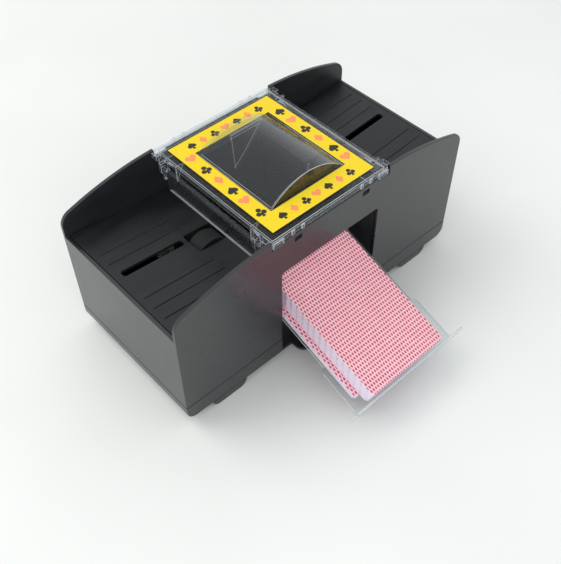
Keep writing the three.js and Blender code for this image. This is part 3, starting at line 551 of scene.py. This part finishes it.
def feed_deck(side, name):
    """Sloping floor of a bay, with fine grooves, a long slot and the roller's window."""
    edge = HALF_LENGTH - WALL - 0.3
    depth = INNER_WIDTH - 0.3
    wall_x = OPENING_HALF + 1.6
    foot = FLOOR_TOP_Z + 0.3
    outline = [
        (edge, deck_z(edge)), (OPENING_HALF, deck_z(OPENING_HALF)), (OPENING_HALF, foot),
        (wall_x, foot), (wall_x, deck_z(wall_x) - 2), (edge, deck_z(edge) - 2),
    ]
    plate = prism([(side * x, z) for x, z in outline], "y", -depth, depth)
    lugs = []
    for far, low, front, back in ((54, 57, -12, -10), (63, 52, 10, 12)):
        lug = [(44, low), (far, low), (far, deck_z(far) - 1), (44, deck_z(44) - 1)]
        lugs.append(prism([(side * x, z) for x, z in lug], "y", front, back))
    x0, x1 = sorted((side * 61, side * 101.3))
    slot = prism(rounded(x0, x1, 3.5, 8.1, 1.6), "z", 60, 80)
    w0, w1 = sorted((side * 36, side * 58.1))
    window = prism(rounded(w0, w1, -6.5, 9.5, 0.9, 4), "z", 49.5, 80)
    grooves = []
    for y in (-34, -25, -16, 16, 25, 34):
        run = [
            (56, deck_z(56) - 0.45), (103, deck_z(103) - 0.45),
            (103, deck_z(103) + 1), (56, deck_z(56) + 1),
        ]
        grooves.append(prism([(side * x, z) for x, z in run], "y", y - 0.32, y + 0.32))
    idler_x = ROLLER_X + math.cos(GEAR_LINE) * IDLER_REACH
    idler_z = ROLLER_Z - math.sin(GEAR_LINE) * IDLER_REACH
    rail = on_slope(block(side * (OPENING_HALF - 2.5), side * (OPENING_HALF + 1), 71.8, 137, -2.3, -0.3))
    whole = cut(
        join(plate, rail, *lugs), slot, window, *grooves,
        rod(3.3, side * ROLLER_X, -13, 13, ROLLER_Z), rod(1.5, side * idler_x, 5, 13, idler_z, 16),
    )
    return piece(
        name.replace("feed_deck", "deck"), whole, textured_black,
        "housing", [name], edge=0.2,
    )


def base_outline(inset, floor_z, top):
    """Tub section: straight ends turned under by an arc."""
    radius = 6.5 - inset
    x = HALF_LENGTH - inset
    left = arc(-x + radius, floor_z + radius, radius, 180, 270, 8)
    right = arc(x - radius, floor_z + radius, radius, 270, 360, 8)
    return [(x, top), (-x, top)] + left + right


def tongue():
    """Round-cornered tongue in front of the opening, under the pulled-out tray."""
    front = -HALF_WIDTH - 9.7
    left = arc(-24, front + 6, 6, 180, 270, 8)
    right = arc(24, front + 6, 6, 270, 360, 8)
    points = [(-30, -48)] + left + right + [(30, -48)]
    return prism(points, "z", UNDERSIDE_Z, FLOOR_TOP_Z)


def base_cover():
    """Shallow tub with the tongue and the recess of the battery door."""
    pad = block(BAY_X - 30.6, BAY_X + 29.8, -33.5, 42.6, FLOOR_TOP_Z - 1, FLOOR_TOP_Z + 1.8)
    tub = cut(
        prism(base_outline(0, UNDERSIDE_Z, SEAM_Z), "y", -HALF_WIDTH, HALF_WIDTH),
        prism(base_outline(WALL, FLOOR_TOP_Z, SEAM_Z + 5), "y", -INNER_WIDTH, INNER_WIDTH),
        block(-OPENING_HALF, OPENING_HALF, -HALF_WIDTH - 1, -INNER_WIDTH + 1, FLOOR_TOP_Z, SEAM_Z + 5),
    )
    screw_ways = four(lambda s, e: turned([(0, 4), (1.5, 4), (1.5, 9), (0, 9)], s * 100, e * 46, 0, "z", 24))
    whole = cut(
        join(tub, tongue(), pad),
        block(BAY_X - 28.5, BAY_X + 28.5, -31.3, 41.3, UNDERSIDE_Z - 1, UNDERSIDE_Z + 1.9),
        block(BAY_X - 27.4, BAY_X + 27.4, -30.2, 30.2, 0, SEAM_Z),
        *screw_ways,
    )
    mark_inside(whole, HALF_LENGTH - WALL, INNER_WIDTH)
    return piece(
        "visual_base", whole, [satin_black, textured_black],
        "housing", ["base_cover"], edge=0.35,
    )


def foot(side, end, name):
    """Foot with swept ends."""
    centre = side * 78.5
    top = UNDERSIDE_Z - 0.3

    def sweep(sign):
        steps = [k / 8 for k in range(9)]
        reach = [(1 - t) ** 2 * 13 + 2 * t * (1 - t) * 11.5 + t * t * 7.5 for t in steps]
        return [(centre + sign * r, (1 - t) ** 2 * top) for r, t in zip(reach, steps)]

    points = sweep(-1) + sweep(1)[::-1]
    near, far = sorted((end * HALF_WIDTH, end * (HALF_WIDTH - 8)))
    return piece(
        name + "_pad", prism(points, "y", near, far), satin_black,
        "housing", [name], edge=0.4,
    )


def screw(side, end, name):
    """Pan-head screw with a cross recess."""
    x, y, z = side * 100, end * 46, UNDERSIDE_Z - 0.3
    profile = [(0, -1.8), (1.2, -1.7), (2.1, -1.3), (2.5, -0.6), (2.5, 0), (1.2, 0), (1.2, 13.1), (0, 14.5)]
    head = turned(profile, x, y, z, "z", 24)
    cross = [block(x - a, x + a, y - b, y + b, z - 2.5, z - 0.9) for a, b in ((1.4, 0.3), (0.3, 1.4))]
    return piece(name + "_head", cut(head, *cross), steel, "housing", [name], edge=0)


# ---- rollers ---------------------------------------------------------------------------------


def tyre(side, body, name):
    """Rubber tyre with fine ribs across its tread."""
    x, z = side * ROLLER_X, ROLLER_Z
    ribs = 60
    tread = []
    for k in range(ribs):
        for offset, radius in ((0.0, 11.36), (0.2, 11.5), (0.7, 11.5), (0.9, 11.36)):
            angle = math.tau * (k + offset) / ribs
            tread.append((x + radius * math.cos(angle), z + radius * math.sin(angle)))
    ring = cut(prism(tread, "y", -5.2, 5.2), rod(6.3, x, -6, 6, z, 48))
    return piece(name + "_tread", ring, rubber, body, [name], edge=0.12, segments=1)


# ---- clear cover -------------------------------------------------------------------------------


def vault(half_x, half_y, rise_front, rise_back, below):
    """Barrel vault whose crown falls from front to back."""
    rise = 10
    radius = (half_x**2 + rise**2) / (2 * rise)
    angle = math.degrees(math.asin(half_x / radius))
    crown = arc(0, COVER_TOP + rise - radius, radius, 90 - angle, 90 + angle, 40)
    feet = [(-half_x, COVER_TOP - below), (half_x, COVER_TOP - below)]
    shape = prism(feet + crown, "y", -half_y, half_y)
    base = COVER_TOP * MM
    for vert in shape.verts:
        wanted = rise_front if vert.co.y < CENTRE_Y else rise_back
        if vert.co.z > base:
            vert.co.z = base + (vert.co.z - base) * wanted / rise
    return shape


def ear(side, end):
    """Lug that hangs from the cover's edge and narrows to the end of a gate's pin."""
    points = [
        (41.5, COVER_TOP - 1), (41.5, 93.4), (43.2, 92), (43.6, 87.5),
        (45.3, 87.5), (45.7, 92), (47.3, 93.8), (47.3, COVER_TOP - 1),
    ]
    near, far = sorted((end * 39, end * 41))
    return prism([(side * x, z) for x, z in points], "y", near, far)


def gusset(side, end):
    """Pointed rib that the gate rests against."""
    points = [(42.2, COVER_TOP - 1), (36, COVER_TOP - 1), (41.5, 89.3), (42.2, 89.3)]
    near, far = sorted((end * 31.4, end * 32.6))
    return prism([(side * x, z) for x, z in points], "y", near, far)


def deflector():
    """Pointed fin at the dome's back end."""
    curve = [(-1.8, 76.5)]
    for k in range(1, 13):
        t = k / 12
        x = (1 - t) ** 2 * -1.8 + 2 * t * (1 - t) * 9.5 + t * t * 21
        z = (1 - t) ** 2 * 76.5 + 2 * t * (1 - t) * 86 + t * t * (COVER_TOP + 1.5)
        curve.append((x, z))
    return prism([(-3.8, COVER_TOP + 1.5)] + curve, "y", 29, 30.4)


def top_cover():
    """Clear lid: rimmed plate, domed window, and everything that is moulded to its edges."""
    rim = 1.6
    plate = cut(
        prism(
            rounded(-COVER_HALF_X, COVER_HALF_X, -COVER_HALF_Y, COVER_HALF_Y, 1, 3),
            "z", COVER_BOTTOM, COVER_RIM_TOP,
        ),
        block(
            -COVER_HALF_X + rim, COVER_HALF_X - rim, -COVER_HALF_Y + rim, COVER_HALF_Y - rim,
            COVER_TOP, 110,
        ),
    )
    shell = cut(join(plate, vault(27, 31.4, 11.5, 8.5, 1)), vault(25.6, 30, 10.1, 7.1, 5))
    corner_ears = four(
        lambda s, e: block(s * 42.5, s * 46.5, e * 43.8, e * 48.6, COVER_BOTTOM, COVER_RIM_TOP)
    )
    corner_lugs = four(lambda s, e: block(s * 35.6, s * 43.1, e * 49.3, e * 51.2, 97.3, COVER_TOP))
    skirts = [block(-42.9, 42.9, e * 47, e * 48.3, HOOK_Z, COVER_TOP - 1) for e in (-1, 1)]
    barbs = four(
        lambda s, e: block(s * HOOK_X - 2.1, s * HOOK_X + 2.1, e * 48, e * 48.75, HOOK_Z, HOOK_Z + 2)
    )
    tabs = [
        block(
            s * HOOK_X + shift - 0.9, s * HOOK_X + shift + 0.9, e * 50, e * HALF_WIDTH,
            COVER_BOTTOM, COVER_RIM_TOP,
        )
        for s in (-1, 1) for e in (-1, 1) for shift in (-3.5, 3.5)
    ]
    whole = cut(
        join(
            shell, *four(ear), *four(gusset), *corner_ears, *corner_lugs,
            *skirts, *barbs, *tabs, deflector(),
        ),
        *[rod(1.5, s * GATE_PIN_X, -50, 50, GATE_PIN_Z, 24) for s in (-1, 1)],
    )
    mark_painted_edge_highlights(whole, 1.75)
    for face in whole.faces:
        if face.calc_center_median().z > (COVER_RIM_TOP + 0.1) * MM:
            face.material_index = 0
    cover = piece("visual_cover", whole, clear, "top_cover", ["top_cover"], edge=0.25)
    # The rounded edges take the second material too: painted edge highlight.
    cover.modifiers["rounding"].material = 1
    return cover


def gate(side, name):
    """Clear flap that hangs from two pins."""
    x, z = side * GATE_PIN_X, GATE_PIN_Z
    half = 37.5
    flap = prism(rounded(-half, half, z - 14, z + 1, 1, 3), "x", x - 0.7, x + 0.7)
    whole = join(flap, rod(1.9, x, -half, half, z, 24), rod(1.2, x, -44.2, 44.2, z, 20))
    mark_painted_edge_highlights(whole, 1.5)
    return piece(name + "_flap", whole, clear, name, [name], edge=0.2)


# ---- printed label --------------------------------------------------------------------------------


def heart_outline(size):
    """Heart, point down."""
    points = []
    for k in range(36):
        t = math.tau * k / 36
        x = 16 * math.sin(t) ** 3
        y = 13 * math.cos(t) - 5 * math.cos(2 * t) - 2 * math.cos(3 * t) - math.cos(4 * t)
        points.append((x * size / 32, (y + 2) * size / 32))
    return points


def stem(size):
    """Flared stem of a spade or a club."""
    half = size / 2
    foot, neck = 0.3 * half, 0.08 * half
    return [(-foot, -half), (foot, -half), (neck, -0.1 * half), (-neck, -0.1 * half)]


def pip_shapes(kind, size):
    """Outlines that make one suit pip."""
    if kind == "heart":
        return [heart_outline(size)]
    if kind == "diamond":
        return [[(0, -size * 0.55), (size * 0.4, 0), (0, size * 0.55), (-size * 0.4, 0)]]
    if kind == "spade":
        blade = [(x * 0.92, size * 0.12 - y * 0.86) for x, y in heart_outline(size)]
        return [blade, stem(size)]
    lobe = size * 0.215
    places = [(0, size * 0.27), (-size * 0.25, -size * 0.1), (size * 0.25, -size * 0.1)]
    return [arc(x, y, lobe, 0, 345, 23) for x, y in places] + [stem(size)]


LEFT_PIPS = [
    ("heart", 29.6), ("club", 16.8), ("diamond", 5.7),
    ("spade", -6.3), ("heart", -16.6), ("club", -29.0),
]
RIGHT_PIPS = [
    ("spade", 27.6), ("heart", 16.8), ("club", 5.6),
    ("diamond", -5.5), ("spade", -17.8), ("heart", -27.9),
]
LABEL_TOP = 101.8
LABEL_HALF = (38.1, 45.0)
WINDOW_HALF = (27.4, 31.8)


def pips():
    """Suit pips printed on the label, red suits in orange."""
    places = [(kind, -32.4, y, 7.0) for kind, y in LEFT_PIPS]
    places += [(kind, 33.0, y, 7.0) for kind, y in RIGHT_PIPS]
    row = ["spade", "diamond", "club", "heart", "spade", "diamond", "club"]
    for y in (38.4, -38.6):
        places += [(kind, (k - 3) * 8.4, y, 6.0) for k, kind in enumerate(row)]
    inks = {
        "pips_orange": printing_ink("printing_ink_orange", "F4894F", "F79A62"),
        "pips_black": printing_ink("printing_ink_black", "1E1A12", "2C2618"),
    }
    for name, ink in inks.items():
        whole = bmesh.new()
        for kind, x, y, size in places:
            if (kind in ("heart", "diamond")) != (name == "pips_orange"):
                continue
            for layer, outline in enumerate(pip_shapes(kind, size)):
                top = LABEL_TOP + 0.04 + 0.008 * layer
                part = prism([(x + a, y + b) for a, b in outline], "z", LABEL_TOP - 0.1, top)
                mesh = bpy.data.meshes.new("pip")
                part.to_mesh(mesh)
                part.free()
                whole.from_mesh(mesh)
                bpy.data.meshes.remove(mesh)
        piece("label_" + name, whole, ink, "top_cover", edge=0)


def window_label():
    """Printed sheet round the dome, with a fine dark line at both borders, painted shade for the dark edges
    of the clear cover.
    """
    shape = bmesh.new()
    rings = []
    for half_x, half_y in (LABEL_HALF, WINDOW_HALF):
        corners = [(-half_x, -half_y), (half_x, -half_y), (half_x, half_y), (-half_x, half_y)]
        verts = [shape.verts.new(at(x, y, LABEL_TOP)) for x, y in corners]
        rings += [shape.edges.new((verts[k], verts[(k + 1) % 4])) for k in range(4)]
    faces = bmesh.ops.bridge_loops(shape, edges=rings)["faces"]
    lines = bmesh.ops.inset_region(
        shape, faces=faces, thickness=0.38 * MM, use_boundary=True, use_even_offset=True
    )["faces"]
    # The border lines get the dark material: painted shade for the clear cover's dark edges.
    for face in lines:
        face.material_index = 1
    bmesh.ops.recalc_face_normals(shape, faces=shape.faces)
    if sum(face.normal.z for face in shape.faces) < 0:
        bmesh.ops.reverse_faces(shape, faces=shape.faces)
    grown = bmesh.ops.extrude_face_region(shape, geom=list(shape.faces), use_keep_orig=True)
    lower = [item for item in grown["geom"] if isinstance(item, bmesh.types.BMVert)]
    bmesh.ops.translate(shape, vec=(0, 0, -0.3 * MM), verts=lower)
    bmesh.ops.recalc_face_normals(shape, faces=shape.faces)
    inks = [coated_label_yellow(), printing_ink("painted_dark_edge_line", "2A2618", "3A3420")]
    return piece("visual_label", shape, inks, "top_cover", ["window_label"], edge=0)


# ---- tray and cards -------------------------------------------------------------------------------------


def card_tray():
    """Flat clear tray with a lip across its front; its front part is wider, with round corners."""
    lip_half, floor_top = 44.6, 1.7
    lip = prism(rounded(-lip_half, lip_half, 0, 11, 0.8, 3), "y", 0, 1.6)
    plates = []
    for half, near, far, corner in ((39.8, 1.4, 33.0, 2.5), (36.9, 32.0, 101.5, 2.0)):
        right = arc(half - corner, far - corner, corner, 0, 90, 6)
        left = arc(corner - half, far - corner, corner, 90, 180, 6)
        plates.append(prism([(-half, near), (half, near)] + right + left, "z", 0, floor_top))
    whole = join(lip, *plates)
    mark_painted_edge_highlights(whole, 1.75)
    return piece("visual_tray", on_slope(whole), clear, "card_tray", ["card_tray"], edge=0.3)


CARD_WIDTH = 58.0
CARD_LENGTH = 88.0
CARD_CORNER = 2.6
CARD_SHARE = 0.985  # of the pitch of the pile: the rest is air between two cards


def deck(name, x, y, z0, z1, skew, seed):
    """Pile of single cards, each a hair out of line with the next."""
    chance = random.Random(seed)
    count = round((z1 - z0) / 0.3)
    pitch = (z1 - z0) / count
    whole = bmesh.new()
    for k in range(count):
        low = z0 + k * pitch
        outline = rounded(x, x + CARD_WIDTH, y, y + CARD_LENGTH, CARD_CORNER, 5)
        card = prism(outline, "z", low, low + pitch * CARD_SHARE)
        share = 1 - k / max(1, count - 1)
        turn = Matrix.Rotation(math.radians(skew * share + chance.uniform(-0.06, 0.06)), 3, "Z")
        pivot = at(x + CARD_WIDTH / 2, y, 0)
        bmesh.ops.rotate(card, cent=pivot, matrix=turn, verts=card.verts)
        drift = Vector((chance.uniform(-0.03, 0.03) * MM, chance.uniform(-0.06, 0.06) * MM, 0))
        bmesh.ops.translate(card, vec=drift, verts=card.verts)
        for face in card.faces:
            face.material_index = 0 if abs(face.normal.z) > 0.5 else 1
        mesh = bpy.data.meshes.new("card")
        card.to_mesh(mesh)
        card.free()
        whole.from_mesh(mesh)
        bpy.data.meshes.remove(mesh)
    finish = [card_print, card_edge]
    return piece("pile_" + name, on_slope(whole), finish, "card_tray", [name], edge=0)


card_print = card_back_print()
card_edge = card_stock_cut()


# ---- start button, battery door ----------------------------------------------------------------------------


def start_button():
    """Round-edged cap with a shallow dish, a flange behind the wall and the pin of the switch."""
    cap = prism(rounded(-6, 6, BUTTON_Z - 4, BUTTON_Z + 4, 1.1, 5), "y", 46.8, HALF_WIDTH + 2.5)
    flange = prism(rounded(-7.6, 7.6, BUTTON_Z - 5.6, BUTTON_Z + 5.6, 1, 4), "y", 46.8, 48.6)
    dish = bmesh.new()
    place = Matrix.Translation(at(0, HALF_WIDTH + 2.5 + 21.4, BUTTON_Z))
    bmesh.ops.create_uvsphere(dish, u_segments=64, v_segments=40, radius=22 * MM, matrix=place)
    whole = cut(join(cap, flange, rod(1.2, 0, 46, 47.5, BUTTON_Z, 20)), dish)
    red = moulded_plastic("moulded_abs_red", "A81E18", "BC2A22", 0.25, 0.34)
    # Painted shade: the flange and the pin behind the wall get the black material so that no red shows in the
    # dark inside the housing.
    for face in whole.faces:
        face.material_index = int(face.calc_center_median().y < at(0, 48.7, 0).y)
    return piece(
        "visual_button", whole, [red, textured_black],
        "start_button", ["start_button"], edge=0.3,
    )


def battery_door():
    """Flat sliding door with a ribbed thumb grip."""
    plate = block(BAY_X - 28.2, BAY_X + 28.2, -31, 31, UNDERSIDE_Z + 0.1, UNDERSIDE_Z + 1.6)
    ribs = [
        block(BAY_X - 9, BAY_X + 9, y, y + 0.8, UNDERSIDE_Z - 1, UNDERSIDE_Z + 0.5) for y in range(14, 27, 2)
    ]
    return piece(
        "visual_door", cut(plate, *ribs), textured_black,
        "battery_door", ["battery_door"], edge=0.2,
    )


# ---- the pieces that keep their own shape --------------------------------------------------


def finish_inner_parts():
    """Materials for the drive, the battery bay and the switch."""
    nylon = moulded_plastic("moulded_acetal_white", "E6E3DA", "F0EEE8", 0.35, 0.48)
    brass = metal("turned_brass", "B8924A", "CDAA5E", 0.25, 0.4, 0.8, (1, 6, 1))
    can = metal("drawn_zinc_plated_steel", "A2A5A9", "BCBEC1", 0.28, 0.42, 5)
    sleeve = moulded_plastic("shrunk_pvc_sleeve_blue", "27567F", "33668F", 0.25, 0.36)
    finishes = {
        "hub": nylon, "roller_gear": nylon, "idler_gear": nylon, "bush": brass, "pinion": brass,
        "shaft": steel, "pin": steel, "spring": steel, "strip": steel, "cell": sleeve,
        "bracket": textured_black, "box": textured_black, "switch": textured_black, "_motor": can,
    }
    for name, item in frame["nodes"].items():
        for ending, coat in finishes.items():
            if name.rstrip("_1234").endswith(ending):
                item.data.materials.clear()
                item.data.materials.append(coat)
                break


# ---- setting ----------------------------------------------------------------------------------


def camera():
    """Camera above the front left corner."""
    azimuth, elevation, roll = math.radians(-42.07), math.radians(49.06), math.radians(0.47)
    back = Vector((
        math.sin(azimuth) * math.cos(elevation), -math.cos(azimuth) * math.cos(elevation), math.sin(elevation)
    ))
    right = (-back).cross(Vector((0, 0, 1))).normalized()
    up = right.cross(-back)
    level = Matrix((right, up, back)).transposed()
    turn = level @ Matrix.Rotation(-roll, 3, "Z")
    data = bpy.data.cameras.new("camera")
    data.lens = 51.81
    data.sensor_width = 36
    data.clip_start = 0.01
    item = bpy.data.objects.new("camera", data)
    item.matrix_world = Matrix.Translation(at(-231.5, -264.8, 401.2)) @ turn.to_4x4()
    bpy.context.scene.collection.objects.link(item)
    bpy.context.scene.camera = item


def soft_light(name, place, target, size, power, code):
    """Square lamp that lights matt faces and leaves no mirror image in the clear parts."""
    data = bpy.data.lights.new(name, "AREA")
    data.size = size
    data.energy = power
    data.color = srgb(code)[:3]
    item = bpy.data.objects.new(name, data)
    item.location = place
    item.rotation_euler = (Vector(target) - Vector(place)).to_track_quat("-Z", "Y").to_euler()
    item.visible_glossy = False
    bpy.context.scene.collection.objects.link(item)


def setting():
    """Pale floor, bright even surroundings, one broad lamp and a low one that fills the shadows."""
    shape = bmesh.new()
    bmesh.ops.create_grid(shape, x_segments=1, y_segments=1, size=2.5)
    floor = bare_object(shape, "floor")
    floor.data.materials.append(painted_board())
    world = bpy.data.worlds.new("surroundings")
    world.use_nodes = True
    world.node_tree.nodes.clear()
    sky = add(world.node_tree, "ShaderNodeBackground", {"Color": srgb("F8FAFC"), "Strength": 0.88})
    add(world.node_tree, "ShaderNodeOutputWorld", {"Surface": sky.outputs[0]})
    bpy.context.scene.world = world
    soft_light("broad_lamp", (-0.7, 0.9, 1.5), (0, 0, 0.03), 1.2, 12.5, "FFFDF8")
    soft_light("low_fill", (-0.45, -0.75, 0.3), (0, -0.08, 0), 0.7, 2.6, "FBFCFF")
    bpy.context.scene.view_settings.view_transform = "Standard"
    bpy.context.scene.cycles.use_denoising = True


setting()
camera()
housing_shell()
base_cover()
feed_deck(-1, "left_feed_deck")
feed_deck(1, "right_feed_deck")
for side_name, side in (("left", -1), ("right", 1)):
    tyre(side, side_name + "_roller", side_name + "_roller_tyre")
    gate(side, side_name + "_gate")
    for end_name, end in (("front", -1), ("rear", 1)):
        foot(side, end, f"foot_{end_name}_{side_name}")
        screw(side, end, f"housing_screw_{end_name}_{side_name}")
top_cover()
window_label()
pips()
card_tray()
deck("card_deck_lower", -36.2, 8.8, 2.0, 6.0, 0.1, 3)
deck("card_deck_upper", -33.2, 3.1, 6.3, 18.2, 0.3, 5)
start_button()
battery_door()
finish_inner_parts()
